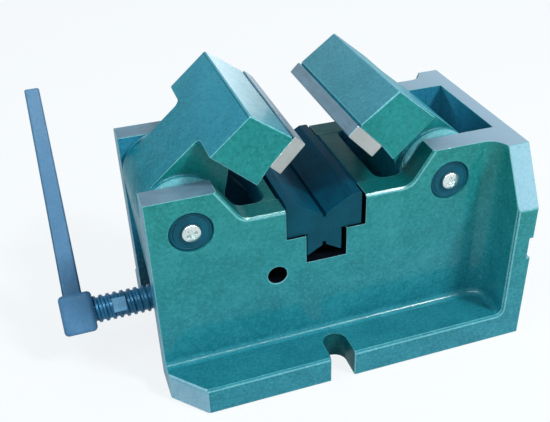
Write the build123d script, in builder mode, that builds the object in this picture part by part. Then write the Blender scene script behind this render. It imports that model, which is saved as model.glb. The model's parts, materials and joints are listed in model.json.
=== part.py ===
"""Self-centring vise for round bars.

A box casting with a flanged foot carries two bell-crank jaws on cross pins.  A right- and left-hand
lead screw spreads the jaws' forked arms, so that both heads swing down on a bar that lies in the
reversible vee block.  Millimetres, +Z up.  The origin is on the foot's bottom face, midway between
the two pivot pins and midway between the side walls.
"""
from build123d import *
from math import acos, atan2, cos, hypot, radians, sin, tan
import os

os.makedirs("parts", exist_ok=True)

# Housing
body_width = 90.0
body_height = 121.0
wall_thickness = 14.0
end_wall_thickness = 9.0
end_plate_thickness = 13.0
end_plate_side_drop = 32.0
end_plate_top_reach = 9.0
foot_reach = 27.0
foot_thickness = 17.0
foot_corner_length = 17.0
foot_corner_depth = 19.0
foot_corner_radius = 4.0
foot_slot_width = 14.2
foot_slot_depth = 20.0
wall_root_radius = 4.0
plate_root_radius = 10.0
casting_edge_chamfer = 1.2

# Lowered middle of both side walls
saddle_drop = 19.0
saddle_end_to_left_pin = 14.5
saddle_end_to_right_pin = 11.5
saddle_run = 12.5
saddle_radius = 8.0

# Key groove across the end plate's outer face, and the window below it
key_groove_width = 13.5
key_groove_depth = 2.3
key_groove_height = 62.5
end_window_height = 49.0

# Plain hole in the front wall
side_hole_diameter = 11.0
side_hole_offset = 28.5
side_hole_height = 62.0

# Bearing web under the vee block
web_thickness = 22.0
web_rise = 28.5

# Stepped seat of the vee block
seat_head_width = 45.6
seat_stem_width = 23.4
seat_head_depth = 18.3
seat_stem_depth = 17.5

# Vee block
block_head_width = 43.2
block_head_height = 19.9
block_stem_width = 20.0
block_stem_height = 13.9
block_end_recess = 1.6
block_side_shift = 0.7
vee_angle = 120.0
large_vee_width = 33.0
small_vee_width = 18.6
relief_width = 2.0
relief_depth = 1.6
block_edge_chamfer = 0.4

# Pivot pins, their caps and the cap screws
pin_spacing = 146.0
pin_drop = 20.5
pin_diameter = 18.0
open_end_to_pin = 22.5
closed_end_to_pin = 41.5
cap_diameter = 23.0
cap_thickness = 3.0
cap_recess_depth = 4.0
cap_recess_clearance = 0.35
cap_screw_diameter = 5.0
cap_screw_length = 14.0
cap_screw_tip_room = 0.5
cap_screw_head_diameter = 9.9
cap_screw_head_height = 3.2
cap_screw_recess_width = 1.3
cap_screw_recess_length = 5.6
cap_screw_recess_depth = 1.8

# Jaw castings
boss_radius = 22.5
boss_side_clearance = 0.5
neck_width = 46.0
jaw_width = 90.0
face_foot_x = 35.5
face_foot_z = 19.8
face_foot_angle = 54.0
face_foot_length = 11.8
seat_angle = 46.0
seat_length = 18.9
seat_lip_chamfer = 1.4
head_top_angle = 36.0
head_top_width = 26.5
head_back_length = 28.3
neck_root_x = 28.5
neck_root_z = 28.0
arm_back_lean = 6.2
arm_tip_width = 26.0
arm_tip_height = 15.0
arm_edge_chamfer = 2.0
neck_root_radius = 4.0
head_edge_radius = 1.2
fork_gap = 30.0
fork_gap_rise = 19.0

# Jaw plates
plate_thickness = 7.6
plate_height = 19.8
plate_edge_chamfer = 0.5

# Lead screw, its bearing and its thrust collar
screw_height = 31.5
screw_diameter = 16.0
screw_past_right_pin = 31.0
screw_end_chamfer = 1.2
flat_length = 7.6
flat_depth = 1.2
flat_from_open_end = 16.5
shoulder_diameter = 25.0
shoulder_length = 6.0
bush_diameter = 22.0
bush_flange_diameter = 28.0
bush_flange_thickness = 3.0
washer_thickness = 3.0
washer_bore_play = 0.4
collar_diameter = 26.0
collar_length = 10.0
collar_pin_diameter = 4.0
thrust_play = 0.1

# Nuts
nut_length = 20.0
nut_height = 24.0
nut_side_clearance = 0.5
trunnion_diameter = 12.0
trunnion_end_clearance = 1.5
trunnion_slot_play = 0.6
trunnion_slot_rise = 7.0
nut_rest_offset = 4.5

# Crank
hub_gap = 30.7
hub_length = 18.4
hub_width = 22.5
hub_height = 23.0
hub_edge_radius = 3.0
hub_rim_chamfer = 1.5
hub_bore_diameter = 12.0
crank_lean = 36.0
crank_reach = 131.0
bar_root_width = 10.7
bar_tip_width = 8.2
bar_root_offset = 1.1
bar_tip_offset = -0.7
bar_edge_chamfer = 0.8
set_screw_diameter = 6.0
set_screw_length = 5.0
set_screw_socket = 3.0
set_screw_socket_depth = 2.0

# Fits: running is radial play that turns or slides, seated is play that does not move
running_clearance = 0.05
seated_clearance = 0.02

# Derived positions
pin_height = body_height - pin_drop
saddle_height = body_height - saddle_drop
end_plate_side_height = body_height - end_plate_side_drop
seat_shelf_height = saddle_height - seat_head_depth
seat_floor_height = seat_shelf_height - seat_stem_depth
web_height = screw_height + web_rise
half_spacing = pin_spacing / 2
left_x = -(half_spacing + open_end_to_pin)
right_x = half_spacing + closed_end_to_pin
saddle_left = half_spacing - saddle_end_to_left_pin
saddle_right = half_spacing - saddle_end_to_right_pin
screw_right_reach = half_spacing + screw_past_right_pin
outer_y = body_width / 2
inner_y = outer_y - wall_thickness
foot_y = outer_y + foot_reach
end_wall_x = right_x - end_wall_thickness
plate_x = right_x - end_plate_thickness
half_web = web_thickness / 2
boss_half_width = inner_y - boss_side_clearance
neck_half_width = neck_width / 2
pin_length = body_width - 2 * cap_recess_depth
cap_seat_y = outer_y - cap_recess_depth
hub_right_x = left_x - hub_gap
hub_x = hub_right_x - hub_length / 2
arm_length = pin_height - screw_height
arm_tip_drop = pin_height - arm_tip_height
fork_gap_top = arm_length - fork_gap_rise
trunnion_slot_top = arm_length - trunnion_slot_rise
nut_x = half_spacing + nut_rest_offset
shoulder_x = -half_web - bush_flange_thickness - thrust_play / 2
collar_x = half_web + washer_thickness + thrust_play / 2


def finish(part, name):
    """Label a finished piece and write it to its own file."""
    part.label = name
    export_step(part, f"parts/{name}.step")


# Box casting
with BuildPart() as body:
    with BuildSketch(Plane.XZ) as wall_outline:
        with BuildLine():
            Polyline(
                (left_x, 0),
                (left_x, body_height),
                (-saddle_left, body_height),
                (-saddle_left + saddle_run, saddle_height),
                (saddle_right - saddle_run, saddle_height),
                (saddle_right, body_height),
                (right_x, body_height),
                (right_x, 0),
                close=True,
            )
        make_face()
        saddle_corners = [v for v in wall_outline.vertices() if abs(v.Y - saddle_height) < 0.01]
        fillet(saddle_corners, saddle_radius)
    extrude(amount=outer_y, both=True)
    with BuildSketch(Plane.XY) as foot_plan:
        with BuildLine():
            Polyline(
                (left_x, -foot_y + foot_corner_depth),
                (left_x + foot_corner_length, -foot_y),
                (right_x, -foot_y),
                (right_x, foot_y),
                (left_x + foot_corner_length, foot_y),
                (left_x, foot_y - foot_corner_depth),
                close=True,
            )
        make_face()
        fillet(foot_plan.vertices().group_by(Axis.X)[1], foot_corner_radius)
    extrude(amount=foot_thickness)
    with BuildSketch(Plane.YZ.offset(right_x)) as end_plate:
        with BuildLine():
            Polyline(
                (-foot_y, 0),
                (-foot_y, end_plate_side_height),
                (-outer_y - end_plate_top_reach, body_height),
                (outer_y + end_plate_top_reach, body_height),
                (foot_y, end_plate_side_height),
                (foot_y, 0),
                close=True,
            )
        make_face()
    extrude(amount=-end_plate_thickness)

    # Rounded roots where the walls meet the end plate and the foot
    plate_roots = (
        body.edges()
        .filter_by(Axis.Z)
        .filter_by_position(Axis.X, plate_x - 0.01, plate_x + 0.01)
        .filter_by_position(Axis.Y, -outer_y - 0.01, outer_y + 0.01)
    )
    fillet(plate_roots, plate_root_radius)
    foot_top_edges = body.edges().filter_by_position(Axis.Z, foot_thickness - 0.01, foot_thickness + 0.01)
    foot_roots = foot_top_edges.filter_by(lambda e: abs(abs(e.center().Y) - outer_y) < plate_root_radius)
    foot_roots += foot_top_edges.filter_by_position(Axis.X, plate_x - 1, right_x).filter_by(
        lambda e: abs(e.center().Y) < foot_y - 0.5
    )
    foot_roots = ShapeList(set(foot_roots.filter_by(lambda e: e.center().X > left_x + 1)))
    fillet(foot_roots, wall_root_radius)

    # Broken edges of the lowered wall tops and of the foot
    saddle_edges = (
        body.edges()
        .filter_by(lambda e: saddle_height - 0.1 < e.center().Z < body_height - 0.1)
        .filter_by(lambda e: abs(abs(e.center().Y) - outer_y) < 0.01 and abs(e.center().X) < saddle_right)
    )
    chamfer(saddle_edges, casting_edge_chamfer)
    foot_rim = body.edges().filter_by_position(Axis.Z, foot_thickness - 0.01, foot_thickness + 0.01)
    foot_rim = foot_rim.filter_by(lambda e: abs(e.center().Y) > foot_y - foot_corner_depth)
    foot_rim = foot_rim.filter_by(lambda e: e.center().X < plate_x - plate_root_radius)
    chamfer(foot_rim, casting_edge_chamfer)

    # Cavity between the walls, open at the left end, the top and the bottom, round the bearing web
    cavity_length = end_wall_x - left_x
    with BuildSketch(Plane.XY):
        with Locations(((left_x + end_wall_x) / 2, 0)):
            Rectangle(cavity_length, 2 * inner_y)
        Rectangle(web_thickness, 2 * inner_y, mode=Mode.SUBTRACT)
    extrude(amount=web_height, mode=Mode.SUBTRACT)
    with BuildSketch(Plane.XY.offset(web_height)):
        with Locations(((left_x + end_wall_x) / 2, 0)):
            Rectangle(cavity_length, 2 * inner_y)
    extrude(amount=body_height, mode=Mode.SUBTRACT)
    with BuildSketch(Plane.YZ.offset(end_wall_x)):
        Rectangle(2 * inner_y, end_window_height, align=(Align.CENTER, Align.MIN))
    extrude(amount=end_wall_thickness, mode=Mode.SUBTRACT)

    # Stepped seat through both walls
    with BuildSketch(Plane.XZ):
        with Locations((0, seat_shelf_height)):
            Rectangle(seat_head_width, body_height, align=(Align.CENTER, Align.MIN))
        with Locations((0, seat_floor_height)):
            Rectangle(seat_stem_width, body_height, align=(Align.CENTER, Align.MIN))
    extrude(amount=outer_y, both=True, mode=Mode.SUBTRACT)

    # Pin bores with cap recesses
    with BuildSketch(Plane.XZ):
        with Locations((-half_spacing, pin_height), (half_spacing, pin_height)):
            Circle(pin_diameter / 2 + seated_clearance)
    extrude(amount=outer_y, both=True, mode=Mode.SUBTRACT)
    for side in (-1, 1):
        with BuildSketch(Plane.XZ.offset(side * outer_y)):
            with Locations((-half_spacing, pin_height), (half_spacing, pin_height)):
                Circle(cap_diameter / 2 + cap_recess_clearance)
        extrude(amount=-side * cap_recess_depth, mode=Mode.SUBTRACT)

    # Side hole, end groove, bearing bore and the two open bolt slots of the foot
    with BuildSketch(Plane.XZ.offset(outer_y)):
        with Locations((-side_hole_offset, side_hole_height)):
            Circle(side_hole_diameter / 2)
    extrude(amount=-wall_thickness, mode=Mode.SUBTRACT)
    with BuildSketch(Plane.XZ):
        with Locations((right_x, key_groove_height)):
            Rectangle(2 * key_groove_depth, key_groove_width)
    extrude(amount=foot_y, both=True, mode=Mode.SUBTRACT)
    with BuildSketch(Plane.YZ):
        with Locations((0, screw_height)):
            Circle(bush_diameter / 2 + seated_clearance)
    extrude(amount=half_web, both=True, mode=Mode.SUBTRACT)
    with BuildSketch(Plane.XY):
        for side in (-1, 1):
            slot_end = side * (foot_y - foot_slot_depth + foot_slot_width / 2)
            with Locations((0, slot_end)):
                Circle(foot_slot_width / 2)
            with Locations((0, (slot_end + side * foot_y) / 2)):
                Rectangle(foot_slot_width, abs(foot_y - abs(slot_end)))
    extrude(amount=foot_thickness, mode=Mode.SUBTRACT)
finish(body.part, "body")

# Reversible vee block: wide head with the large vee, narrow stem with the small one
block_floor = seat_shelf_height - block_stem_height
block_top = seat_shelf_height + block_head_height
vee_slope = tan(radians(90 - vee_angle / 2))
with BuildPart() as vee_block:
    with BuildSketch(Plane.XZ):
        with Locations((-block_side_shift, seat_shelf_height)):
            Rectangle(block_head_width, block_head_height, align=(Align.CENTER, Align.MIN))
        with Locations((-block_side_shift, block_floor)):
            Rectangle(block_stem_width, block_stem_height, align=(Align.CENTER, Align.MIN))
    extrude(amount=outer_y - block_end_recess, both=True)
    chamfer(vee_block.edges().filter_by(Axis.Y).group_by(Axis.Z)[-1], block_edge_chamfer)
    with BuildSketch(Plane.XZ):
        for mouth_height, vee_width, side in (
            (block_top, large_vee_width, -1),
            (block_floor, small_vee_width, 1),
        ):
            vee_root = mouth_height + side * vee_width / 2 * vee_slope
            with BuildLine():
                Polyline(
                    (-block_side_shift - vee_width / 2, mouth_height),
                    (-block_side_shift, vee_root),
                    (-block_side_shift + vee_width / 2, mouth_height),
                    close=True,
                )
            make_face()
            with Locations((-block_side_shift, vee_root + side * (relief_depth / 2 - relief_width / 4))):
                Rectangle(relief_width, relief_depth + relief_width / 2)
    extrude(amount=outer_y, both=True, mode=Mode.SUBTRACT)
finish(vee_block.part, "vee_block")

# Jaw outline in the pivot's own plane, from the left pin
pivot = (-half_spacing, pin_height)
along_seat = (cos(radians(seat_angle)), sin(radians(seat_angle)))
out_of_seat = (along_seat[1], -along_seat[0])
out_of_seat_3d = (out_of_seat[0], 0, out_of_seat[1])


def from_pivot(x, z):
    """A point in the jaws' plane, measured from the left pin."""
    return (pivot[0] + x, pivot[1] + z)


def step(start, angle, distance):
    """The point at a distance from another in the direction of an angle in degrees."""
    return (start[0] + distance * cos(radians(angle)), start[1] + distance * sin(radians(angle)))


face_foot = (face_foot_x, face_foot_z)
seat_foot = step(face_foot, face_foot_angle, face_foot_length)
seat_top = step(seat_foot, seat_angle, seat_length)
head_peak = step(seat_top, 180 - head_top_angle, head_top_width)


def on_boss(point, side):
    """Where the line from an outside point touches the boss circle."""
    turn = acos(boss_radius / hypot(*point))
    angle = atan2(point[1], point[0]) + side * turn
    return (boss_radius * cos(angle), boss_radius * sin(angle))


back_tangent = on_boss(head_peak, 1)
arm_heel = (-boss_radius + arm_back_lean, -arm_tip_drop)
arm_toe = (arm_heel[0] + arm_tip_width, -arm_tip_drop)
back_run = hypot(head_peak[0] - back_tangent[0], head_peak[1] - back_tangent[1])
back_share = head_back_length / back_run
head_back_foot = tuple(p + (t - p) * back_share for p, t in zip(head_peak, back_tangent))
trunnion_lean = atan2(-arm_length, -nut_rest_offset)
arm_axis = (cos(trunnion_lean), sin(trunnion_lean))
past_arm_tip = arm_tip_drop + arm_tip_width


def along_arm(distance, sideways=0.0):
    """A point at a distance from the pin along the arm, and sideways towards the middle."""
    return from_pivot(
        distance * arm_axis[0] - sideways * arm_axis[1], distance * arm_axis[1] + sideways * arm_axis[0]
    )


plate_seat_middle = step(seat_foot, seat_angle, plate_height / 2)
plate_seat = Plane(
    origin=(pivot[0] + plate_seat_middle[0], 0, pivot[1] + plate_seat_middle[1]),
    x_dir=(0, 1, 0),
    z_dir=(out_of_seat[0], 0, out_of_seat[1]),
)

with BuildPart() as left_jaw:
    with BuildSketch(Plane.XZ):
        with Locations(pivot):
            Circle(boss_radius)
        with BuildLine():
            Polyline(
                from_pivot(0, 0),
                from_pivot(*on_boss(arm_heel, -1)),
                from_pivot(*arm_heel),
                from_pivot(*arm_toe),
                from_pivot(*on_boss(arm_toe, 1)),
                close=True,
            )
        make_face()
    extrude(amount=boss_half_width, both=True)
    arm_edges = left_jaw.edges().filter_by(lambda e: abs(abs(e.center().Y) - boss_half_width) < 0.01)
    arm_backs = arm_edges.filter_by(GeomType.LINE).filter_by(lambda e: e.length > boss_radius)
    chamfer(arm_backs.filter_by(lambda e: e.center().X < pivot[0] - boss_radius / 2), arm_edge_chamfer)
    with BuildSketch(Plane.XZ):
        with BuildLine():
            Polyline(
                from_pivot(*back_tangent),
                from_pivot(*head_peak),
                from_pivot(*seat_foot),
                from_pivot(neck_root_x, neck_root_z),
                from_pivot(boss_radius, 0),
                from_pivot(0, 0),
                close=True,
            )
        make_face()
    extrude(amount=neck_half_width, both=True)
    with BuildSketch(Plane.XZ):
        with BuildLine():
            Polyline(
                from_pivot(*head_peak),
                from_pivot(*seat_top),
                from_pivot(*seat_foot),
                from_pivot(*face_foot),
                from_pivot(*head_back_foot),
                close=True,
            )
        make_face()
    extrude(amount=jaw_width / 2, both=True)
    seat_corner = left_jaw.edges().filter_by(Axis.Y).sort_by_distance(
        (pivot[0] + seat_top[0], 0, pivot[1] + seat_top[1])
    )[0]
    chamfer(seat_corner, seat_lip_chamfer)
    # Rounded roots between the neck and the head, then the head's cast edges
    neck_sides = left_jaw.edges().filter_by(lambda e: abs(abs(e.center().Y) - neck_half_width) < 0.01)
    overhang_roots = neck_sides.filter_by(GeomType.LINE).filter_by_position(
        Axis.Z, pivot[1] + face_foot_z + 1, pivot[1] + head_back_foot[1]
    )
    overhang_roots = overhang_roots.filter_by(lambda e: e.center().X > pivot[0] + head_back_foot[0])
    fillet(overhang_roots, neck_root_radius)
    head_edges = left_jaw.edges().filter_by(
        lambda e: abs(abs(e.center().Y) - jaw_width / 2) < 0.01 and e.length > 2 * seat_lip_chamfer
    )
    head_edges = head_edges.filter_by(lambda e: abs(e.tangent_at(0.5).dot(Vector(*out_of_seat_3d))) > 0.3)
    head_edges += left_jaw.edges().filter_by(Axis.Y).sort_by(Axis.Z)[-1:]
    fillet(head_edges, head_edge_radius)
    with BuildSketch(Plane.XZ):
        with Locations(pivot):
            Circle(pin_diameter / 2 + running_clearance)
    extrude(amount=jaw_width / 2, both=True, mode=Mode.SUBTRACT)
    # Fork gap for the nut and an open slot in each leg for its trunnions
    with BuildSketch(Plane.XZ):
        with BuildLine():
            Polyline(
                along_arm(fork_gap_top, -boss_radius * 2),
                along_arm(past_arm_tip, -boss_radius * 2),
                along_arm(past_arm_tip, boss_radius * 2),
                along_arm(fork_gap_top, boss_radius * 2),
                close=True,
            )
        make_face()
    extrude(amount=fork_gap / 2, both=True, mode=Mode.SUBTRACT)
    slot_half = trunnion_diameter / 2 + trunnion_slot_play
    with BuildSketch(Plane.XZ):
        with Locations(along_arm(trunnion_slot_top + slot_half)):
            Circle(slot_half)
        with BuildLine():
            Polyline(
                along_arm(trunnion_slot_top + slot_half, -slot_half),
                along_arm(past_arm_tip, -slot_half),
                along_arm(past_arm_tip, slot_half),
                along_arm(trunnion_slot_top + slot_half, slot_half),
                close=True,
            )
        make_face()
    extrude(amount=boss_half_width, both=True, mode=Mode.SUBTRACT)
finish(left_jaw.part, "left_jaw")

with BuildPart() as right_jaw:
    mirror(left_jaw.part, about=Plane.YZ)
finish(right_jaw.part, "right_jaw")

# Ground plate on the upper part of each jaw's face
with BuildPart() as left_jaw_plate:
    with BuildSketch(plate_seat):
        Rectangle(jaw_width, plate_height)
    extrude(amount=plate_thickness)
    chamfer(left_jaw_plate.edges().filter_by(Axis.Y), plate_edge_chamfer)
finish(left_jaw_plate.part, "left_jaw_plate")

with BuildPart() as right_jaw_plate:
    mirror(left_jaw_plate.part, about=Plane.YZ)
finish(right_jaw_plate.part, "right_jaw_plate")

# Pivot pins, tapped at both ends
with BuildPart() as left_pivot_pin:
    with BuildSketch(Plane.XZ):
        with Locations(pivot):
            Circle(pin_diameter / 2)
    extrude(amount=pin_length / 2, both=True)
    for side in (-1, 1):
        with BuildSketch(Plane.XZ.offset(side * pin_length / 2)):
            with Locations(pivot):
                Circle(cap_screw_diameter / 2 + seated_clearance)
        extrude(amount=-side * cap_screw_length, mode=Mode.SUBTRACT)
finish(left_pivot_pin.part, "left_pivot_pin")

with BuildPart() as right_pivot_pin:
    mirror(left_pivot_pin.part, about=Plane.YZ)
finish(right_pivot_pin.part, "right_pivot_pin")

# Cap discs over the pin ends
pin_spots = [(-half_spacing, pin_height), (half_spacing, pin_height)]
with BuildPart() as front_caps:
    with BuildSketch(Plane.XZ.offset(cap_seat_y)):
        with Locations(pin_spots):
            Circle(cap_diameter / 2)
            Circle(cap_screw_diameter / 2 + seated_clearance, mode=Mode.SUBTRACT)
    extrude(amount=cap_thickness)
finish(front_caps.part, "front_caps")

with BuildPart() as rear_caps:
    mirror(front_caps.part, about=Plane.XZ)
finish(rear_caps.part, "rear_caps")

# Cross-recessed screws of the caps
cap_face_y = cap_seat_y + cap_thickness
with BuildPart() as cap_screws:
    for side in (-1, 1):
        with BuildSketch(Plane.XZ.offset(side * cap_face_y)):
            with Locations(pin_spots):
                Circle(cap_screw_head_diameter / 2)
        extrude(amount=side * cap_screw_head_height)
        with BuildSketch(Plane.XZ.offset(side * (cap_face_y + cap_screw_head_height))):
            with Locations(pin_spots):
                Rectangle(cap_screw_recess_length, cap_screw_recess_width)
                Rectangle(cap_screw_recess_width, cap_screw_recess_length)
        extrude(amount=-side * cap_screw_recess_depth, mode=Mode.SUBTRACT)
        with BuildSketch(Plane.XZ.offset(side * cap_face_y)):
            with Locations(pin_spots):
                Circle(cap_screw_diameter / 2)
        extrude(amount=-side * (cap_screw_length - cap_screw_tip_room))
finish(cap_screws.part, "cap_screws")

# Lead screw: left half, bearing journal with its shoulder, right half, and the turned end for the crank
lean_up = (sin(radians(crank_lean)), cos(radians(crank_lean)))
with BuildPart() as lead_screw:
    with BuildSketch(Plane.YZ.offset(hub_right_x)):
        with Locations((0, screw_height)):
            Circle(screw_diameter / 2)
    extrude(amount=screw_right_reach - hub_right_x)
    chamfer(lead_screw.faces().sort_by(Axis.X)[-1].edges(), screw_end_chamfer)
    with BuildSketch(Plane.YZ.offset(shoulder_x)):
        with Locations((0, screw_height)):
            Circle(shoulder_diameter / 2)
    extrude(amount=-shoulder_length)
    with BuildSketch(Plane.YZ.offset(hub_right_x)):
        with Locations((0, screw_height)):
            Circle(hub_bore_diameter / 2)
    extrude(amount=-hub_length)
    with BuildSketch(Plane.YZ.offset(left_x - flat_from_open_end - flat_length / 2)):
        flat_height = screw_diameter / 2 - flat_depth
        with Locations(Location((0, screw_height), 90 - crank_lean + 90)):
            with Locations((flat_height, 0)):
                Rectangle(screw_diameter, screw_diameter, align=(Align.MIN, Align.CENTER))
    extrude(amount=flat_length, mode=Mode.SUBTRACT)
    with BuildSketch(Plane.XY.offset(screw_height)):
        with Locations((collar_x + collar_length / 2, 0)):
            Circle(collar_pin_diameter / 2 + seated_clearance)
    extrude(amount=screw_diameter, both=True, mode=Mode.SUBTRACT)
finish(lead_screw.part, "lead_screw")

# Flanged bronze bush, thrust washer, thrust collar and its pin
with BuildPart() as bearing_bush:
    with BuildSketch(Plane.YZ.offset(-half_web)):
        with Locations((0, screw_height)):
            Circle(bush_diameter / 2)
    extrude(amount=web_thickness)
    with BuildSketch(Plane.YZ.offset(-half_web)):
        with Locations((0, screw_height)):
            Circle(bush_flange_diameter / 2)
    extrude(amount=-bush_flange_thickness)
    with BuildSketch(Plane.YZ):
        with Locations((0, screw_height)):
            Circle(screw_diameter / 2 + running_clearance)
    extrude(amount=web_thickness, both=True, mode=Mode.SUBTRACT)
finish(bearing_bush.part, "bearing_bush")

with BuildPart() as thrust_washer:
    with BuildSketch(Plane.YZ.offset(half_web)):
        with Locations((0, screw_height)):
            Circle(bush_flange_diameter / 2)
            Circle(screw_diameter / 2 + washer_bore_play, mode=Mode.SUBTRACT)
    extrude(amount=washer_thickness)
finish(thrust_washer.part, "thrust_washer")

with BuildPart() as thrust_collar:
    with BuildSketch(Plane.YZ.offset(collar_x)):
        with Locations((0, screw_height)):
            Circle(collar_diameter / 2)
            Circle(screw_diameter / 2 + seated_clearance, mode=Mode.SUBTRACT)
    extrude(amount=collar_length)
    with BuildSketch(Plane.XY.offset(screw_height)):
        with Locations((collar_x + collar_length / 2, 0)):
            Circle(collar_pin_diameter / 2 + seated_clearance)
    extrude(amount=collar_diameter, both=True, mode=Mode.SUBTRACT)
finish(thrust_collar.part, "thrust_collar")

with BuildPart() as collar_pin:
    with BuildSketch(Plane.XY.offset(screw_height)):
        with Locations((collar_x + collar_length / 2, 0)):
            Circle(collar_pin_diameter / 2)
    extrude(amount=collar_diameter / 2 - block_edge_chamfer, both=True)
finish(collar_pin.part, "collar_pin")

# Trunnion nuts between the fork legs
with BuildPart() as left_nut:
    with Locations((-nut_x, 0, screw_height)):
        Box(nut_length, fork_gap - 2 * nut_side_clearance, nut_height)
    with BuildSketch(Plane.XZ):
        with Locations((-nut_x, screw_height)):
            Circle(trunnion_diameter / 2)
    extrude(amount=boss_half_width - trunnion_end_clearance, both=True)
    with BuildSketch(Plane.YZ.offset(-nut_x)):
        with Locations((0, screw_height)):
            Circle(screw_diameter / 2 + running_clearance)
    extrude(amount=nut_length, both=True, mode=Mode.SUBTRACT)
finish(left_nut.part, "left_nut")

with BuildPart() as right_nut:
    mirror(left_nut.part, about=Plane.YZ)
finish(right_nut.part, "right_nut")

# Crank: a rounded hub block and a tapering square lever in one piece
crank_plane = Plane(origin=(hub_x, 0, screw_height), x_dir=(1, 0, 0), z_dir=(0, lean_up[0], lean_up[1]))
with BuildPart() as crank:
    with BuildSketch(crank_plane):
        RectangleRounded(hub_length, hub_width, hub_edge_radius)
    extrude(amount=hub_height / 2, both=True)
    hub_ends = crank.faces().filter_by(lambda f: abs(f.normal_at().dot(crank_plane.z_dir)) > 0.99)
    chamfer(hub_ends.edges(), hub_rim_chamfer)
    with BuildSketch(crank_plane.offset(hub_height / 2 - hub_edge_radius)) as bar_root:
        with Locations((-bar_root_offset, 0)):
            Rectangle(bar_root_width, bar_root_width)
        chamfer(bar_root.vertices(), bar_edge_chamfer)
    with BuildSketch(crank_plane.offset(crank_reach)) as bar_tip:
        with Locations((-bar_tip_offset, 0)):
            Rectangle(bar_tip_width, bar_tip_width)
        chamfer(bar_tip.vertices(), bar_edge_chamfer)
    loft(ruled=True)
    with BuildSketch(Plane.YZ.offset(hub_right_x)):
        with Locations((0, screw_height)):
            Circle(hub_bore_diameter / 2 + seated_clearance)
    extrude(amount=-hub_length, mode=Mode.SUBTRACT)
    with BuildSketch(crank_plane):
        Circle(set_screw_diameter / 2 + seated_clearance)
    extrude(amount=-hub_height, mode=Mode.SUBTRACT)
finish(crank.part, "crank")

with BuildPart() as crank_set_screw:
    with BuildSketch(crank_plane.offset(-hub_bore_diameter / 2 - set_screw_length)):
        Circle(set_screw_diameter / 2)
    extrude(amount=set_screw_length)
    with BuildSketch(crank_plane.offset(-hub_bore_diameter / 2 - set_screw_length)):
        RegularPolygon(set_screw_socket / 2, 6, major_radius=False)
    extrude(amount=set_screw_socket_depth, mode=Mode.SUBTRACT)
finish(crank_set_screw.part, "crank_set_screw")
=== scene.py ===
import json
from math import radians

import bmesh
import bpy
import numpy as np
from mathutils import Matrix, Quaternion, Vector

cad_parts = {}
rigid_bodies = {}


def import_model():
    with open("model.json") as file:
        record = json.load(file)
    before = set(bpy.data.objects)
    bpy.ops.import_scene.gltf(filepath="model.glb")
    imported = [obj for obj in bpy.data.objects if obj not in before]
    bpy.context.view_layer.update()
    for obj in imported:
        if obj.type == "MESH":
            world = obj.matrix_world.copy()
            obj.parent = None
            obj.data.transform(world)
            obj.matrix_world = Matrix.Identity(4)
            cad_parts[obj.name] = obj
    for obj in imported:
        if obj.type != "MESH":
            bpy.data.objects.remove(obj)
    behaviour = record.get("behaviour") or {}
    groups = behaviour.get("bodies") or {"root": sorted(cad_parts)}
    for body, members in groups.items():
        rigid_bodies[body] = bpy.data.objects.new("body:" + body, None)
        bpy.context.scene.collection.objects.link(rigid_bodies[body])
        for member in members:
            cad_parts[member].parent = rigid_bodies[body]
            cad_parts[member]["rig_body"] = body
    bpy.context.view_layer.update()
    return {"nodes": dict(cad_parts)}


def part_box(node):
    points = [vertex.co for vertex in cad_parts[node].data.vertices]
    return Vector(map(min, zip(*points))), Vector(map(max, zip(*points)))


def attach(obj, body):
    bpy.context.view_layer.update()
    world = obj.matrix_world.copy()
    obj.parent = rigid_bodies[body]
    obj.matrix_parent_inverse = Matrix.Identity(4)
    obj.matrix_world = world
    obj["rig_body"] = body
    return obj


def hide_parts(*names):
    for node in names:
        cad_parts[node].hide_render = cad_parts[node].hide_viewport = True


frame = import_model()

scene = bpy.context.scene
mm = 0.001


# Places and sizes in millimetres, from the frame and from the dimensions of the real vise

def box_of(node):
    """A CAD node's lowest corner, middle and highest corner at rest, to a hundredth of a millimetre."""
    low, high = (np.array(corner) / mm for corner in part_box(node))
    return [place.round(2).tolist() for place in (low, (low + high) / 2, high)]


(left_x, _, _), _, (right_x, _, wall_top) = box_of("body")
_, (pin_x, _, pin_z), _ = box_of("right_pivot_pin")
_, _, (_, cap_face_y, _) = box_of("rear_caps")
(screw_left_x, _, _), (_, _, screw_z), (screw_right_x, shoulder_radius, _) = box_of("lead_screw")
_, _, (hub_right_x, _, _) = box_of("crank")
(bush_left_x, _, _), _, _ = box_of("bearing_bush")
_, _, (collar_right_x, _, _) = box_of("thrust_collar")

# The housing's walls, foot, end plate and side hole
outer_y = cap_face_y + 1.0
wall_inner_y = outer_y - 14.0
flange_y = outer_y + 5.0
foot_top = 17.0
foot_corner_x = left_x + 17.0
foot_slot_half = 7.1
plate_left_x = right_x - 13.0
end_wall_x = right_x - 9.0
key_groove_depth = 2.3
hole_x, hole_z, hole_radius = -28.5, 62.0, 5.5
chamfer = 1.2
recess_reach = 13.0

# The lowered middle of the walls, with the stepped seat in it, and the web under it
saddle_reach = 75.0
saddle_z = wall_top - 19.0
seat_half, stem_half = 22.8, 11.7
seat_z = saddle_z - 18.3
stem_z = seat_z - 17.5
web_half = 11.0
web_top = screw_z + 28.5

# The cross-bridge, which the CAD model lacks
bridge_left_reach, bridge_right_reach = 29.5, 35.5
bridge_under_z = 86.0

# The jaws' pivot bosses and heads, where an edge of more than a length runs across a head
boss_radius, boss_chamfer = 22.5, 2.0
boss_face_y = wall_inner_y - 0.5
head_z, head_root_z = 104.0, 100.0
head_edge_length = 80.0

# The lead screw, with the flat between the open end and the crank
screw_radius, thread_root_radius, pitch = 8.0, 6.8, 4.0
crest_radius = screw_radius - 0.06
journal_radius = 6.0
screw_end_chamfer = 1.2
shoulder_right_x = bush_left_x - 0.05
shoulder_left_x = shoulder_right_x - 6.0
flat_middle_x = left_x - 16.5
flat_half = 3.8
flat_distance = 6.75
crank_lean = radians(36)

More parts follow.
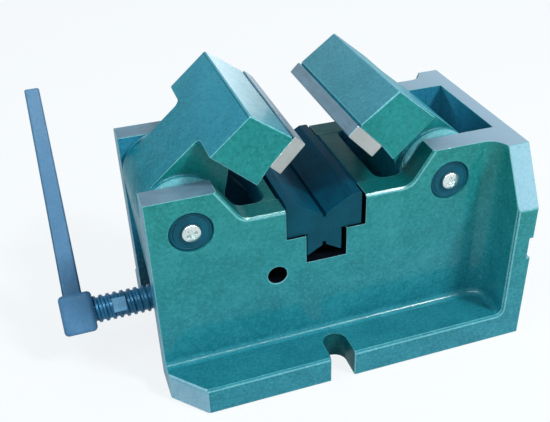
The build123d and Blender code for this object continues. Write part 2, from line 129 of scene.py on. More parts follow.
# The caps and their pan-head screws
cap_radius, cap_thickness = 11.5, 3.0
head_radius, head_rise = 4.95, 3.15
shank_radius, shank_length = 2.5, 13.5
cross_half_width, cross_reach, cross_depth = 0.95, 3.0, 1.7

# How far from its place a face or an edge may lie and still be the one that a rule means, and the
# least and the most part of a face's direction along an axis where it lies square or edge on to it
near = 0.1
square_on, edge_on = 0.9, 0.1


# Materials

def linear(red, green, blue):
    """A display colour, from 0 to 255, as the scene-linear one that a shader takes, by the sRGB curve."""
    c = np.array([red, green, blue]) / 255
    c = np.where(c <= 0.04045, c / 12.92, ((c + 0.055) / 1.055) ** 2.4)
    return (*c.tolist(), 1.0)


class Finish:
    """One procedural material on Object coordinates, with a call for each kind of node."""

    def __init__(self, name):
        self.material = bpy.data.materials.new(name)
        self.material.use_nodes = True
        self.nodes = self.material.node_tree.nodes
        self.links = self.material.node_tree.links
        self.shader = self.nodes["Principled BSDF"]
        self.place = self.nodes.new("ShaderNodeTexCoord").outputs["Object"]

    def put(self, socket, value):
        """Links an output to a socket, or writes a constant on it."""
        if isinstance(value, bpy.types.NodeSocket):
            self.links.new(value, socket)
        else:
            socket.default_value = value

    def noise(self, size, detail, rough=0.5, stretch=(1, 1, 1)):
        """Noise from 0 to 1 with lumps of a size in millimetres, drawn out along each axis."""
        place = self.nodes.new("ShaderNodeMapping")
        self.links.new(self.place, place.inputs["Vector"])
        place.inputs["Scale"].default_value = [1 / (size * mm * s) for s in stretch]
        node = self.nodes.new("ShaderNodeTexNoise")
        self.links.new(place.outputs["Vector"], node.inputs["Vector"])
        node.inputs["Scale"].default_value = 1.0
        node.inputs["Detail"].default_value = detail
        node.inputs["Roughness"].default_value = rough
        return node.outputs["Fac"]

    def cells(self, size):
        """Distance from the middle of the nearest cell, for rounded dimples of a size in millimetres."""
        node = self.nodes.new("ShaderNodeTexVoronoi")
        node.feature = "SMOOTH_F1"
        self.links.new(self.place, node.inputs["Vector"])
        node.inputs["Scale"].default_value = 1 / (size * mm)
        return node.outputs["Distance"]

    def axis(self, letter):
        """One coordinate of the place on the piece, in metres."""
        node = self.nodes.new("ShaderNodeSeparateXYZ")
        self.links.new(self.place, node.inputs["Vector"])
        return node.outputs[letter]

    def span(self, value, low, high, to_low=0.0, to_high=1.0):
        """A value carried from one range to another and held at its ends."""
        node = self.nodes.new("ShaderNodeMapRange")
        node.inputs["From Min"].default_value = low
        node.inputs["From Max"].default_value = high
        node.inputs["To Min"].default_value = to_low
        node.inputs["To Max"].default_value = to_high
        self.put(node.inputs["Value"], value)
        return node.outputs["Result"]

    def arithmetic(self, operation, first, second):
        """The result of one arithmetic operation on two values."""
        node = self.nodes.new("ShaderNodeMath")
        node.operation = operation
        self.put(node.inputs[0], first)
        self.put(node.inputs[1], second)
        return node.outputs["Value"]

    def blend(self, share, first, second):
        """Two colours mixed by a share."""
        node = self.nodes.new("ShaderNodeMix")
        node.data_type = "RGBA"
        self.put(node.inputs["Factor"], share)
        self.put(node.inputs["A"], first)
        self.put(node.inputs["B"], second)
        return node.outputs["Result"]

    def bump(self, height, depth, strength):
        """Surface relief of a depth in millimetres."""
        node = self.nodes.new("ShaderNodeBump")
        node.inputs["Strength"].default_value = strength
        node.inputs["Distance"].default_value = depth * mm
        self.links.new(height, node.inputs["Height"])
        self.links.new(node.outputs["Normal"], self.shader.inputs["Normal"])

    def end(self, colour, roughness, metallic, specular, gloss=0.0):
        """Writes the finished values on the shader, with a clear coat of a share, and gives the material."""
        self.put(self.shader.inputs["Base Color"], colour)
        self.put(self.shader.inputs["Roughness"], roughness)
        self.put(self.shader.inputs["Metallic"], metallic)
        self.put(self.shader.inputs["Specular IOR Level"], specular)
        self.put(self.shader.inputs["Coat Weight"], gloss)
        self.put(self.shader.inputs["Coat Roughness"], 0.16)
        self.put(self.shader.inputs["Coat IOR"], 1.25)
        return self.material


# The paint's pattern: sizes in millimetres, the most that its clouds lighten and darken, the painted
# highlight's pale colour
cloud_size, sheen_size, dimple_size, grain_size, highlight_spot_size = 18, 5, 1.8, 1.7, 1.6
cloud_light, cloud_dark = 0.35, 0.2
dimple_depth = 0.12
highlight_colour = (168, 216, 222)


def paint(name, high, low, light, dark, span=(0.01, 0.13), highlight_share=0.0, speckle=0.55, gloss=1.0):
    """Speckled hammered paint.

    The colour drifts from low to high over a span of heights in metres. Cloudy patches and fine grains move
    it to the light and the dark one, and, where a highlight share is given, spots of painted highlight to a
    pale one. Grains and dimples raise it.
    """
    f = Finish(name)
    drift = f.span(f.axis("Z"), *span)
    colour = f.blend(drift, linear(*low), linear(*high))
    clouds = f.noise(cloud_size, 4, 0.65)
    colour = f.blend(f.span(clouds, 0.45, 0.75, 0, cloud_light), colour, linear(*light))
    colour = f.blend(f.span(clouds, 0.48, 0.3, 0, cloud_dark), colour, linear(*dark))
    grain = f.noise(grain_size, 3, 0.75)
    colour = f.blend(f.span(grain, 0.52, 0.7, 0, speckle), colour, linear(*light))
    colour = f.blend(f.span(grain, 0.47, 0.3, 0, speckle), colour, linear(*dark))
    roughness = f.span(f.noise(sheen_size, 3), 0.3, 0.7, 0.34, 0.5)
    # Painted highlight: the pale colour in spots, at four tenths of the share at least, stands in for the
    # light that rounded edges catch
    if highlight_share:
        highlit = f.span(f.noise(highlight_spot_size, 4, 0.75), 0.5, 0.68, highlight_share * 0.4, highlight_share)
        colour = f.blend(highlit, colour, linear(*highlight_colour))
    height = f.arithmetic("ADD", f.cells(dimple_size), f.arithmetic("MULTIPLY", grain, 0.5))
    f.bump(height, dimple_depth, 0.45)
    return f.end(colour, roughness, 0.0, 0.05, gloss)


# Tool marks on cut metal: their width, the size of the patches of tone and the depth in millimetres,
# and the highest display value that they take
mark_width, tone_size, mark_depth = 0.5, 14, 0.02
brightest = 250


def machined(
    name, colour, stretch=(1, 1, 1), metallic=0.75, rough=(0.3, 0.45), shade=0.8, specular=0.5, ends=None
):
    """Cut metal: tool marks drawn out along an axis, over a slow change of tone.

    The tone runs from a share of the colour, shade, to the colour itself, and the marks are paler. Where
    an end colour is given, the metal turns to it towards the right end.
    """
    f = Finish(name)
    marks = f.noise(mark_width, 3, 0.6, stretch)
    tone = f.noise(tone_size, 3, 0.6)
    dull = [c * shade for c in colour]
    pale = [min(c * (2 - shade), brightest) for c in colour]
    mixed = f.blend(f.span(tone, 0.3, 0.7), linear(*dull), linear(*colour))
    mixed = f.blend(f.span(marks, 0.45, 0.75, 0, 0.6), mixed, linear(*pale))
    if ends:
        mixed = f.blend(f.span(f.axis("X"), 0.03, 0.12, 0, 0.9), mixed, linear(*ends))
    f.bump(marks, mark_depth, 0.5)
    return f.end(mixed, f.span(tone, 0.3, 0.7, *rough), metallic, specular)


# Paints of the housing
# Painted shade: the housing paint turns a little darker and bluer towards the foot
housing_paint = paint("housing_paint", (28, 130, 122), (26, 124, 142), (60, 156, 164), (10, 90, 98))
# Painted highlight: the housing's rounded edges, lightened in spots towards the pale colour, for the light
# that they catch
edge_highlight_paint = paint(
    "edge_highlight_paint", (40, 146, 144), (36, 140, 156), (70, 168, 176), (20, 112, 122), highlight_share=0.6
)
# Painted light: the housing's left end face in a lighter, bluer copy of the paint, for the bluish light on
# it
side_lit_paint = paint(
    "side_lit_paint", (50, 126, 156), (50, 126, 156), (84, 154, 184), (24, 92, 120), gloss=0.15
)
# Painted shade: the lowered wall tops, the sides of the foot's slots and the bridge's seat in a darker copy
# of the paint
saddle_shade_paint = paint(
    "saddle_shade_paint", (10, 98, 98), (10, 80, 88), (24, 116, 120), (4, 64, 70), gloss=0.1
)
# Painted shade: the foot's top in a darker copy of the paint, for the shade beside the walls
foot_shade_paint = paint("foot_shade_paint", (24, 112, 126), (24, 112, 126), (50, 140, 150), (8, 82, 92))
# Painted highlight: the end plate's front and rear rims in a pale copy of the paint, palest towards the top
rim_highlight_paint = paint(
    "rim_highlight_paint", (144, 184, 200), (30, 130, 154), (150, 194, 208), (84, 156, 176), span=(0.03, 0.085)
)
# Painted highlight: the foot's chamfered corners at the left end in a pale copy of the paint
corner_highlight_paint = paint("corner_highlight_paint", (104, 162, 184), (136, 180, 200), (146, 190, 206), (70, 140, 164))
# Painted shade: the housing's inside and the bridge's sides turn from a bluer tone of the paint to nearly
# black towards the bottom
inner_shade_paint = paint(
    "inner_shade_paint", (44, 132, 164), (6, 30, 42), (58, 146, 170), (16, 78, 98), span=(0.02, 0.062), gloss=0.3
)

# Paints of the jaws and the crank
# Painted light: the jaw paint turns lighter towards the tops of the heads
jaw_paint = paint(
    "jaw_paint", (42, 138, 160), (10, 118, 134), (66, 160, 176), (14, 96, 110), span=(0.115, 0.155),
    gloss=0.1,
)
# Painted reflection: the heads' tops in a paler, greyer copy of the jaw paint, palest towards the top
jaw_top_reflection_paint = paint(
    "jaw_top_reflection_paint", (62, 138, 156), (14, 118, 128), (84, 160, 176), (24, 104, 118), span=(0.115, 0.16),
    gloss=0.7,
)
# Painted light: the jaws' front and rear ends in a greener, darker copy of the jaw paint, for the different
# light on them
jaw_end_lit_paint = paint("jaw_end_lit_paint", (16, 126, 124), (12, 118, 126), (44, 150, 152), (6, 86, 88))
# Painted highlight: the jaws' roundings and the chamfers at their heads' ends, lightened in spots towards
# the pale colour
jaw_edge_highlight_paint = paint(
    "jaw_edge_highlight_paint", (40, 150, 160), (18, 130, 148), (70, 170, 182), (20, 116, 130), highlight_share=0.55
)
# Painted light: the crank paint turns a little lighter towards the top
crank_paint = paint(
    "crank_paint", (86, 128, 162), (76, 122, 158), (98, 140, 176), (62, 106, 146), speckle=0.4, gloss=0.1
)

# Cut and turned metals
machined_top = machined(
    "machined_top", (100, 132, 150), (30, 1, 1), metallic=0.15, shade=0.85, specular=0.15,
    ends=(150, 174, 192),
)
vee_finish = machined(
    "vee_block_finish", (2, 74, 98), (1, 40, 1), metallic=0.0, rough=(0.36, 0.5), shade=0.75, specular=0.03
)
vee_end = machined("vee_block_end", (14, 76, 94), metallic=0.0, rough=(0.35, 0.5), specular=0.05)
cap_finish = machined("cap_finish", (18, 86, 106), metallic=0.0, shade=0.75, specular=0.08)
plate_steel = machined(
    "plate_steel", (106, 138, 156), (1, 40, 1), metallic=0.8, rough=(0.25, 0.38), shade=0.85
)
plate_end = machined("plate_end", (172, 178, 176), metallic=0.7, rough=(0.3, 0.4), shade=0.9)
pin_steel = machined("pin_steel", (128, 140, 148), metallic=0.9, rough=(0.25, 0.35))
bright_steel = machined("bright_screws", (214, 226, 226), metallic=0.9, rough=(0.18, 0.3), shade=0.9)
dark_steel = machined("dark_screws", (40, 48, 54), metallic=0.8, rough=(0.35, 0.5))
screw_steel = machined("lead_screw_steel", (42, 112, 150), metallic=0.2, shade=0.75, specular=0.2)
# Painted highlight: the flat on the screw in a pale steel, for the light that it reflects
flat_highlight_steel = machined(
    "screw_flat_highlight", (106, 162, 198), (30, 1, 1), metallic=0.3, rough=(0.25, 0.35), shade=0.85, specular=0.3
)
bronze = machined("bronze", (176, 134, 78), metallic=0.85)
# Bare cut metal in the seat and the side hole, darkened to nearly black as painted shade for the dark inside
# of the housing
bore_shade_metal = machined(
    "bore_shade_metal", (4, 8, 18), (1, 30, 1), metallic=0.0, rough=(0.5, 0.6), shade=0.75, specular=0.05
)


# Pieces from the CAD meshes

def set_finishes(mesh, materials, face_rules=None):
    """Gives every face the first material, and then each one that a rule names to the faces it covers.

    The rules are pairs of faces and a material, found from the faces' middles in millimetres and their
    outward directions, and a later pair goes over an earlier one.
    """
    for material in materials:
        mesh.materials.append(material)
    if face_rules:
        count = len(mesh.polygons)
        centre, normal = np.zeros(count * 3), np.zeros(count * 3)
        mesh.polygons.foreach_get("center", centre)
        mesh.polygons.foreach_get("normal", normal)
        chosen = np.zeros(count, int)
        for faces, material in face_rules(centre.reshape(-1, 3).T / mm, normal.reshape(-1, 3).T):
            chosen[faces] = materials.index(material)
        mesh.polygons.foreach_set("material_index", chosen)


def merged_mesh(node, name, edge_share):
    """A CAD node's mesh with its doubles merged and the faces that lie in one plane joined.

    Each convex edge that turns by more than 24 degrees has its share of the rounding as bevel weight.
    """
    build = bmesh.new()
    build.from_mesh(frame["nodes"][node].data)
    bmesh.ops.remove_doubles(build, verts=build.verts, dist=0.002 * mm)
    bmesh.ops.dissolve_limit(
        build, angle_limit=radians(0.6), use_dissolve_boundaries=False, verts=build.verts, edges=build.edges
    )
    build.verts.index_update()
    build.edges.index_update()
    points = [vertex.co.copy() for vertex in build.verts]
    faces = [[vertex.index for vertex in face.verts] for face in build.faces]
    mesh = bpy.data.meshes.new(name)
    mesh.from_pydata(points, [], faces)
    mesh.update()
    shares = {}
    for edge in build.edges:
        if len(edge.link_faces) == 2 and edge.is_convex and edge.calc_face_angle(0) > radians(24):
            middle = (edge.verts[0].co + edge.verts[1].co) / 2 / mm
            pair = tuple(sorted(vertex.index for vertex in edge.verts))
            shares[pair] = edge_share(middle, edge.calc_length() / mm)
    build.free()
    pairs = np.zeros(len(mesh.edges) * 2, int)
    mesh.edges.foreach_get("vertices", pairs)
    weights = [shares.get(tuple(sorted(pair)), 0.0) for pair in pairs.reshape(-1, 2).tolist()]
    mesh.attributes.new("bevel_weight_edge", "FLOAT", "EDGE").data.foreach_set("value", weights)
    mesh.shade_smooth()
    return mesh


def whole_share(middle, length):
    """Every edge is rounded to the whole width."""
    return 1.0


def copy_of(
    node, name, materials, width, edge_share=whole_share, face_rules=None, segments=3,
    edge_finish=None,
):
    """A copy of a CAD node whose outer edges are rounded to a width in millimetres.

    edge_share gives the share of the width that an edge takes, from its middle and length. edge_finish is
    the material of the roundings, which otherwise continue the one of the faces beside them.
    """
    mesh = merged_mesh(node, name, edge_share)
    set_finishes(mesh, materials, face_rules)
    piece = bpy.data.objects.new(name, mesh)
    scene.collection.objects.link(piece)
    rounding = piece.modifiers.new("rounding", "BEVEL")
    rounding.limit_method = "WEIGHT"
    rounding.width = width * mm
    rounding.segments = segments
    rounding.use_clamp_overlap = False
    if edge_finish:
        rounding.material = materials.index(edge_finish)
    shading = piece.modifiers.new("shading", "WEIGHTED_NORMAL")
    shading.keep_sharp = False
    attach(piece, frame["nodes"][node]["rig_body"])
    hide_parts(node)


def housing_rules(centre, normal):
    """The housing's cut faces; its bores, saddle, foot top, slots and inside in painted shade; its rims,
    foot corners and left end in painted light.
    """
    x, y, z = centre
    nx, ny, nz = abs(normal)
    reach = abs(y)
    below_top = z < wall_top - near
    in_wall = (reach > wall_inner_y) & (reach < outer_y - near)
    on_flange = reach > flange_y
    seat = (abs(x) < seat_half + 0.2) & (z > stem_z - 0.2)
    side_hole = (abs(x - hole_x) < hole_radius + 0.5) & (abs(z - hole_z) < hole_radius + 0.5)
    saddle = (abs(x) < saddle_reach) & (z > saddle_z - 1) & below_top
    right_face = (x > right_x - key_groove_depth - 0.2) & (ny < 0.5)
    return [
        ((z > wall_top - near) & (normal[2] > square_on), machined_top),
        ((z < near) | right_face, machined_top),
        (seat & in_wall, bore_shade_metal),
        (side_hole & in_wall, bore_shade_metal),
        (saddle & (reach > wall_inner_y + near) & (reach < outer_y - 0.8), saddle_shade_paint),
        ((x > plate_left_x - 0.5) & on_flange & (z > foot_top + 3) & (nx < edge_on), rim_highlight_paint),
        ((x < foot_corner_x + 0.5) & on_flange & (z > 1) & (normal[0] < -0.3), corner_highlight_paint),
        ((x < left_x + near) & (z > 1), side_lit_paint),
        ((abs(x) < foot_slot_half + 0.2) & on_flange & (z > near) & (nz < edge_on), saddle_shade_paint),
        ((abs(z - foot_top) < near) & on_flange, foot_shade_paint),
        ((reach < wall_inner_y + near / 2) & (x < end_wall_x + near) & below_top & (z > near), inner_shade_paint),
    ]


def housing_edges(middle, length):
    """The pin recesses, the upper edges of the chamfers and the seat stay crisp, and the tops' edges take
    half the width."""
    reach = abs(middle.y)
    from_pin = Vector((abs(middle.x) - pin_x, middle.z - pin_z)).length
    if abs(reach - outer_y) < near and from_pin < recess_reach:
        return 0.1
    if abs(reach - outer_y + chamfer) < near or (abs(middle.z - foot_top) < near and reach > flange_y):
        return 0.15
    if abs(middle.x) < seat_half + 0.2 and middle.z > stem_z - 0.2 and reach < outer_y + near:
        return 0.35
    return 1.0 if middle.z < wall_top - near else 0.5


copy_of(
    "body", "housing_casting",
    [
        housing_paint, edge_highlight_paint, machined_top, rim_highlight_paint, inner_shade_paint, bore_shade_metal, corner_highlight_paint,
        saddle_shade_paint, side_lit_paint, foot_shade_paint,
    ],
    width=0.5, edge_share=housing_edges, face_rules=housing_rules, edge_finish=edge_highlight_paint,
)


def jaw_rules(centre, normal):
    """The jaws' front and rear ends in painted light, the chamfers at the ends of their heads in painted
    highlight, and the heads' tops in painted reflection.
    """
    x, y, z = centre
    sideways = abs(normal[1])
    ends = sideways > square_on
    chamfers = (z > head_z) & (abs(y) > outer_y - 2) & (sideways > 0.2) & ~ends
    tops = (z > head_z) & (normal[0] * np.sign(x) < 0.45) & (normal[2] > 0.3) & (sideways < edge_on)
    return [(ends, jaw_end_lit_paint), (chamfers, jaw_edge_highlight_paint), (tops, jaw_top_reflection_paint)]


def jaw_edges(middle, length):
    """Both edges of the pivot bosses' chamfers have the widest roundings, so that they meet, and the long
    edges across the heads have the narrowest."""
    reach = Vector((abs(middle.x) - pin_x, middle.z - pin_z)).length
    inset = boss_face_y - abs(middle.y)
    on_chamfer = boss_radius - boss_chamfer - 0.5 < reach < boss_radius + 0.5
    if on_chamfer and -near < inset < boss_chamfer + near:
        return 0.49
    if length > head_edge_length:
        return 0.04
    return 0.2 if middle.z < head_root_z else 0.14


for side in ("left", "right"):
    copy_of(
        side + "_jaw", side + "_jaw_casting",
        [jaw_paint, jaw_edge_highlight_paint, jaw_end_lit_paint, jaw_top_reflection_paint],
        width=2.8, edge_share=jaw_edges, face_rules=jaw_rules, segments=4, edge_finish=jaw_edge_highlight_paint,
    )

copy_of("crank", "crank_casting", [crank_paint], width=0.9)


def ends_in(material):
    """The rule of a bar that has a material of its own on its two ends."""
    return lambda centre, normal: [(abs(normal[1]) > square_on, material)]


copy_of(
    "vee_block", "vee_block_ground", [vee_finish, vee_end], width=0.3,
    face_rules=ends_in(vee_end),
)
for side in ("left", "right"):
    copy_of(
        side + "_jaw_plate", side + "_jaw_plate_ground", [plate_steel, plate_end],
        width=0.35, face_rules=ends_in(plate_end),
    )
    copy_of(side + "_nut", side + "_nut_rounded", [bronze], width=0.6)


# Pieces made from formulas

def tube(name, rings, tips, materials, slot, body, *nodes, crease=32, face_rules=None):
    """A closed skin over rings of points, with a row of quads between each ring and the next.

    Triangles close each end to its tip, or one flat face where there are no tips. The skin is turned over
    if its faces look inwards. Edges are sharp where faces turn by more than the crease, in degrees.
    """
    rows, columns = rings.shape[:2]
    around = np.arange(columns)
    after = (around + 1) % columns
    first = np.arange(rows - 1)[:, None] * columns
    quads = np.stack(
        [first + around, first + after, first + columns + after, first + columns + around], -1
    ).reshape(-1, 4)
    last = (rows - 1) * columns
    points = rings.reshape(-1, 3)
    if tips:
        points = np.concatenate([points, tips])
        tip = np.full(columns, rows * columns)
        ends = np.stack([tip, after, around], -1).tolist()
        ends += np.stack([tip + 1, last + around, last + after], -1).tolist()
    else:
        ends = [around[::-1].tolist(), (last + around).tolist()]
    faces = quads.tolist() + ends
    a, b, c = (points[quads[:, i]] for i in (0, 1, 2))
    outward = np.cross(b - a, c - b) * ((a + c) / 2 - points.mean(0))
    if outward.sum() < 0:
        faces = [face[::-1] for face in faces]
    mesh = bpy.data.meshes.new(name)
    mesh.from_pydata((points * mm).tolist(), [], faces)
    mesh.update()
    set_finishes(mesh, materials, face_rules)
    mesh.shade_smooth()
    mesh.set_sharp_from_angle(angle=radians(crease))
    piece = bpy.data.objects.new(name, mesh)
    scene.collection.objects.link(piece)
    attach(piece, body)
    if nodes:
        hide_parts(*nodes)


def thread(x, angle, hand):
    """The radius of a threaded length over x and the angle.

    A ridge of trapezoid section, flat for a third of the pitch at the crest and at the root, winds
    right-handed (1) or left-handed (-1) along x.
    """
    flat_share, flank_share = 0.34, 0.32
    phase = (x[:, None] / pitch - hand * angle / (2 * np.pi)) % 1
    sunk = np.clip((abs(phase - 0.5) * 2 - flat_share) / flank_share, 0, 1)
    return crest_radius - (screw_radius - thread_root_radius) * sunk


def lead_screw_skin():
    """The screw as a radius over its length and angle, with a tip for each end.

    The journal, the shoulder and the middle are plain, with relief grooves between them and the threads.
    Along the flat, its plane caps the radius, at the flat's distance over the cosine of the angle from it.
    """
    columns, step = 64, 0.25
    left_relief, right_relief, relief_slope = 2.5, 1.5, 0.2
    journal_edge, shoulder_edge = 0.5, 0.6
    neck = thread_root_radius - 0.1
    angle = np.arange(columns) * 2 * np.pi / columns
    left = np.arange(hub_right_x, shoulder_left_x - left_relief, step)
    right = np.arange(collar_right_x + right_relief, screw_right_x, step)
    left_radius = thread(left, angle, 1)
    facing = np.cos(angle - np.arctan2(np.sin(crank_lean), -np.cos(crank_lean)))
    plane = flat_distance / np.maximum(facing, 0.3)
    on_flat = abs(left - flat_middle_x) < flat_half + 0.01
    left_radius[on_flat] = np.where(plane < crest_radius, plane, left_radius[on_flat])
    end_cone = screw_radius - np.maximum(right - screw_right_x + screw_end_chamfer, 0)
    right_radius = np.minimum(thread(right, angle, -1), end_cone[:, None])

    def turned(*radii):
        return np.tile(np.array(radii, float)[:, None], (1, columns))

    journal_x = [screw_left_x, screw_left_x + journal_edge, hub_right_x]
    shoulder_x = [
        shoulder_left_x, shoulder_left_x + shoulder_edge, shoulder_right_x - shoulder_edge,
        shoulder_right_x,
    ]
    shoulder_rim = shoulder_radius - shoulder_edge
    right_neck_x = [collar_right_x + relief_slope, collar_right_x + right_relief - relief_slope]
    lengths = [
        (journal_x, turned(journal_radius - journal_edge, journal_radius, journal_radius)),
        (left, left_radius),
        ([left[-1] + relief_slope, shoulder_left_x], turned(neck, neck)),
        (shoulder_x, turned(shoulder_rim, shoulder_radius, shoulder_radius, shoulder_rim)),
        ([shoulder_right_x, collar_right_x], turned(screw_radius, screw_radius)),
        (right_neck_x, turned(neck, neck)),
        (right, right_radius),
        ([screw_right_x], turned(screw_radius - screw_end_chamfer)),
    ]
    x = np.concatenate([places for places, radii in lengths])[:, None]
    radius = np.concatenate([radii for places, radii in lengths])
    rings = np.stack(
        np.broadcast_arrays(x, radius * np.cos(angle), screw_z + radius * np.sin(angle)), -1
    )
    return rings, [(screw_left_x, 0, screw_z), (screw_right_x, 0, screw_z)]


def flat_rules(centre, normal):
    """The faces on the screw's flat, which looks along the crank's lean."""
    facing = -normal[1] * np.cos(crank_lean) + normal[2] * np.sin(crank_lean)
    return [((abs(centre[0] - flat_middle_x) < flat_half) & (facing > 0.97), flat_highlight_steel)]


tube(
    "lead_screw_threaded", *lead_screw_skin(), [screw_steel, flat_highlight_steel], "lead_screw_steel", "spindle",
    "lead_screw", face_rules=flat_rules,
)


def bridge_skin():
    """The cross-bridge beside the vee block: a stepped profile in x and z, carried along y.

    Its outer sides flare near each wall along a quarter circle, the cast root between them, and turn
    into its top along another. It is sunk a little below the faces of the walls that it meets.
    """
    sunk, gap, root, edge, into_wall, into_web = 0.05, 0.8, 7.0, 1.2, 0.3, 0.5
    turned = np.linspace(0, np.pi / 2, 5)
    top = saddle_z - sunk
    root_rows = np.linspace(0.75, 1, 11)
    rows = np.concatenate([-root_rows[::-1], root_rows]) * (wall_inner_y + into_wall)
    close = np.clip((abs(rows) - wall_inner_y + root) / root, 0, 1)
    flare = root * (1 - np.sqrt(1 - close ** 2))
    halves = []
    for reach, side in ((bridge_left_reach, -1), (bridge_right_reach, 1)):
        x = np.concatenate([
            [web_half, reach],
            reach - edge * (1 - np.cos(turned)),
            np.array([seat_half, seat_half, stem_half, stem_half]) + gap,
        ])
        z = np.concatenate([
            [web_top - into_web, bridge_under_z],
            top - edge * (1 - np.sin(turned)),
            [top, seat_z - sunk, seat_z - sunk, stem_z - sunk],
        ])
        flares = np.array([0] + [1] * (1 + len(turned)) + [0] * 4)
        half = np.stack(np.broadcast_arrays(side * (x + flare[:, None] * flares), rows[:, None], z), -1)
        halves.append(half[:, ::side])
    return np.concatenate(halves, 1)


def bridge_rules(centre, normal):
    """The bridge's sides in the inside's painted shade, and its seat in the saddle's painted shade."""
    return [(normal[2] < 0.7, inner_shade_paint)]


tube(
    "cross_bridge", bridge_skin(), None, [saddle_shade_paint, inner_shade_paint], "housing_paint", "frame",
    face_rules=bridge_rules,
)


pin_ends = [(-pin_x, -1), (pin_x, -1), (-pin_x, 1), (pin_x, 1)]
pin_columns = 96
pin_angle = np.arange(pin_columns) * 2 * np.pi / pin_columns


def rings_on_pin(x, side, radius, height):
    """Rings round a pivot pin's axis, one for each radius, at heights outwards from the caps' faces."""
    ring_x = x + radius[:, None] * np.cos(pin_angle)
    ring_z = pin_z + radius[:, None] * np.sin(pin_angle)
    return np.stack(np.broadcast_arrays(ring_x, side * (cap_face_y + height), ring_z), -1)


def dome_screw_skin(x, side):
    """A pan head on its shank, as a height over its radius and angle, with a tip for each end.

    The dome falls from its middle with the radius to the power of 2.2. A cross of two arms sinks it, and
    an arm's depth is a ramp inwards from its long sides times a ramp inwards from its ends.
    """
    dome_drop, slope_width = 1.35, 0.22
    under_head = np.array([shank_radius, shank_radius, 4.6, head_radius, head_radius])
    under_height = np.array([-shank_length, 0.0, 0.0, 0.35, 1.6])
    dome = np.linspace(4.8, 0.05, 34)
    across, up = dome[:, None] * np.cos(pin_angle), dome[:, None] * np.sin(pin_angle)
    turn = radians(20)
    u, v = across * np.cos(turn) + up * np.sin(turn), up * np.cos(turn) - across * np.sin(turn)

    def inside(distance):
        return np.clip(distance / slope_width, 0, 1)

    arm_u = inside(cross_half_width - abs(v)) * inside(cross_reach - abs(u))
    arm_v = inside(cross_half_width - abs(u)) * inside(cross_reach - abs(v))
    rise = head_rise - dome_drop * (dome[:, None] / head_radius) ** 2.2
    rise = rise - cross_depth * np.maximum(arm_u, arm_v)
    height = np.concatenate([under_height[:, None] + 0 * pin_angle, rise])
    rings = rings_on_pin(x, side, np.concatenate([under_head, dome]), height)
    tip_heights = (-shank_length, head_rise - cross_depth)
    return rings, [(x, side * (cap_face_y + tip), pin_z) for tip in tip_heights]


for number, (x, side) in enumerate(pin_ends):
    tube(
        f"cap_screw_{number}", *dome_screw_skin(x, side), [bright_steel], "bright_screws", "frame",
        "cap_screws", crease=40,
    )


def cap_skin(x, side):
    """A turned disc, as heights over its radius from the back to the middle, with a tip for each end.

    It has a rounded rim, a fine groove inside the rim and a low seat for the screw.
    """
    seat_rise = 2.8
    back = [(2.0, 0), (9.0, 0), (11.2, 0)]
    outside = [(cap_radius, 0.2), (cap_radius, 2.2)]
    rim = [(11.4, 2.6), (11.15, 2.86), (10.7, 2.98), (9.9, cap_thickness)]
    groove = [(9.7, 2.72), (9.3, 2.72)]
    face = [(9.1, cap_thickness), (5.6, cap_thickness)]
    seat = [(5.4, seat_rise), (0.1, seat_rise)]
    radius, height = np.array(back + outside + rim + groove + face + seat).T
    rings = rings_on_pin(x, side, radius, height[:, None] - cap_thickness)
    tip_heights = (-cap_thickness, seat_rise - cap_thickness)
    return rings, [(x, side * (cap_face_y + tip), pin_z) for tip in tip_heights]


for number, (x, side) in enumerate(pin_ends):
    caps = "front_caps" if side < 0 else "rear_caps"
    tube(f"cap_{number}", *cap_skin(x, side), [cap_finish], "cap_finish", "frame", caps, crease=35)


# Finishes of the CAD nodes that stay in view
plain_nodes = {
    "left_pivot_pin": pin_steel,
    "right_pivot_pin": pin_steel,
    "bearing_bush": bronze,
    "thrust_washer": bronze,
    "thrust_collar": pin_steel,
    "collar_pin": dark_steel,
    "crank_set_screw": dark_steel,
}
for node, material in plain_nodes.items():
    frame["nodes"][node].data.materials.clear()
    frame["nodes"][node].data.materials.append(material)


# Floor, light and camera, with the floor and the lamps in metres

backdrop_white = (0.96, 0.985, 1, 1)


def backdrop_share(tree):
    """1 for a ray from the camera, a reflection or a refraction, so that each sees the white backdrop."""
    path = tree.nodes.new("ShaderNodeLightPath")
    total = path.outputs["Is Camera Ray"]
    for name in ("Is Glossy Ray", "Is Transmission Ray"):
        node = tree.nodes.new("ShaderNodeMath")
        node.operation = "MAXIMUM"
        tree.links.new(total, node.inputs[0])
        tree.links.new(path.outputs[name], node.inputs[1])
        total = node.outputs["Value"]
    return total


def show_mix(tree, output, share, lit, white):
    """Mixes the lit shader with the white one by a share, and shows the mix."""
    mixer = tree.nodes.new("ShaderNodeMixShader")
    tree.links.new(share, mixer.inputs[0])
    tree.links.new(lit, mixer.inputs[1])
    tree.links.new(white, mixer.inputs[2])
    tree.links.new(mixer.outputs["Shader"], tree.nodes[output].inputs["Surface"])


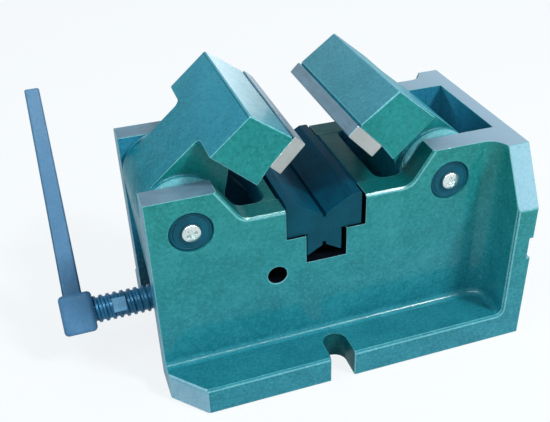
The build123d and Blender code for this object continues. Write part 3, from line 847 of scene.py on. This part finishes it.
def floor_material():
    """A pale floor that takes the object's shadow, and turns into the white backdrop with distance."""
    material = bpy.data.materials.new("floor")
    material.use_nodes = True
    tree = material.node_tree
    ground = tree.nodes["Principled BSDF"]
    ground.inputs["Base Color"].default_value = (0.86, 0.87, 0.87, 1)
    ground.inputs["Roughness"].default_value = 0.9
    ground.inputs["Specular IOR Level"].default_value = 0.1
    glow = tree.nodes.new("ShaderNodeEmission")
    glow.inputs["Color"].default_value = backdrop_white
    place = tree.nodes.new("ShaderNodeTexCoord")
    distance = tree.nodes.new("ShaderNodeVectorMath")
    distance.operation = "LENGTH"
    tree.links.new(place.outputs["Object"], distance.inputs[0])
    far = tree.nodes.new("ShaderNodeMapRange")
    tree.links.new(distance.outputs["Value"], far.inputs["Value"])
    far.inputs["From Min"].default_value = 0.5
    far.inputs["From Max"].default_value = 2.5
    far.inputs["To Min"].default_value = 0.85
    far.inputs["To Max"].default_value = 1.0
    share = tree.nodes.new("ShaderNodeMath")
    share.operation = "MULTIPLY"
    tree.links.new(backdrop_share(tree), share.inputs[0])
    tree.links.new(far.outputs["Result"], share.inputs[1])
    show_mix(
        tree, "Material Output", share.outputs["Value"], ground.outputs["BSDF"], glow.outputs["Emission"]
    )
    return material


floor_half, floor_z = 6.0, -0.0004
floor_mesh = bpy.data.meshes.new("floor")
floor_corners = [
    (x * floor_half, y * floor_half, floor_z) for x, y in ((-1, -1), (1, -1), (1, 1), (-1, 1))
]
floor_mesh.from_pydata(floor_corners, [], [(0, 1, 2, 3)])
floor_mesh.materials.append(floor_material())
floor = bpy.data.objects.new("floor", floor_mesh)
scene.collection.objects.link(floor)


def studio_world():
    """A soft bluish light on the object, and the white backdrop for the rays that see it."""
    world = bpy.data.worlds.new("studio")
    world.use_nodes = True
    tree = world.node_tree
    ambient = tree.nodes["Background"]
    ambient.inputs["Color"].default_value = (0.8, 0.93, 1.0, 1)
    ambient.inputs["Strength"].default_value = 0.5
    white = tree.nodes.new("ShaderNodeBackground")
    white.inputs["Color"].default_value = backdrop_white
    white.inputs["Strength"].default_value = 1.0
    show_mix(
        tree, "World Output", backdrop_share(tree), ambient.outputs["Background"],
        white.outputs["Background"],
    )
    return world


scene.world = studio_world()


def area_lamp(name, place, target, size, power, colour, length=None):
    """A soft square lamp that points at a target, or a strip of a length that only glossy faces show."""
    data = bpy.data.lights.new(name, "AREA")
    data.size = size
    if length:
        data.shape = "RECTANGLE"
        data.size = length
        data.size_y = size
    data.energy = power
    data.color = colour
    lamp = bpy.data.objects.new(name, data)
    lamp.location = place
    lamp.visible_camera = False
    lamp.visible_diffuse = not length
    lamp.rotation_mode = "QUATERNION"
    lamp.rotation_quaternion = (Vector(target) - Vector(place)).to_track_quat("-Z", "Y")
    scene.collection.objects.link(lamp)


area_lamp("key", (0.62, -0.72, 1.12), (0, 0, 0.06), 0.22, 14.0, (1.0, 1.0, 0.98))
area_lamp("top", (-0.5, -0.25, 1.0), (0, 0, 0.08), 0.7, 3.0, (0.8, 0.95, 1.0))
area_lamp("strip", (0, -0.72, 1.12), (0, 0, 0.06), 0.11, 46.0, (0.9, 1.0, 1.0), length=3.0)
area_lamp("rear", (0.48, 1.32, 0.24), (0, 0, 0.1), 0.45, 1.8, (0.8, 0.92, 1.0))

# The camera as it was fitted to the photograph: its turn as an axis times an angle in radians, which
# takes the object's directions to the picture's right, down and away, its place in millimetres, its
# focal length in pixels, and how far its frame is shifted as a share of its width
camera_turn = Vector((2.14179, -0.38138, 0.18485))
camera_place = Vector((-129.32, -375.02, 322.69))
focal_pixels, image_width = 792.18, 550
sensor_width = 36.0
shift_x, shift_y = -0.0516, 0.0464

camera_data = bpy.data.cameras.new("camera")
camera = bpy.data.objects.new("camera", camera_data)
scene.collection.objects.link(camera)
scene.camera = camera
axes = Quaternion(camera_turn.normalized(), camera_turn.length).to_matrix()
placed = Matrix((axes[0], -axes[1], -axes[2])).transposed().to_4x4()
placed.translation = camera_place * mm
camera.matrix_world = placed
camera_data.sensor_width = sensor_width
camera_data.lens = focal_pixels / image_width * sensor_width
camera_data.shift_x = shift_x
camera_data.shift_y = shift_y
camera_data.clip_start = 0.01
camera_data.clip_end = 50

scene.view_settings.view_transform = "Standard"
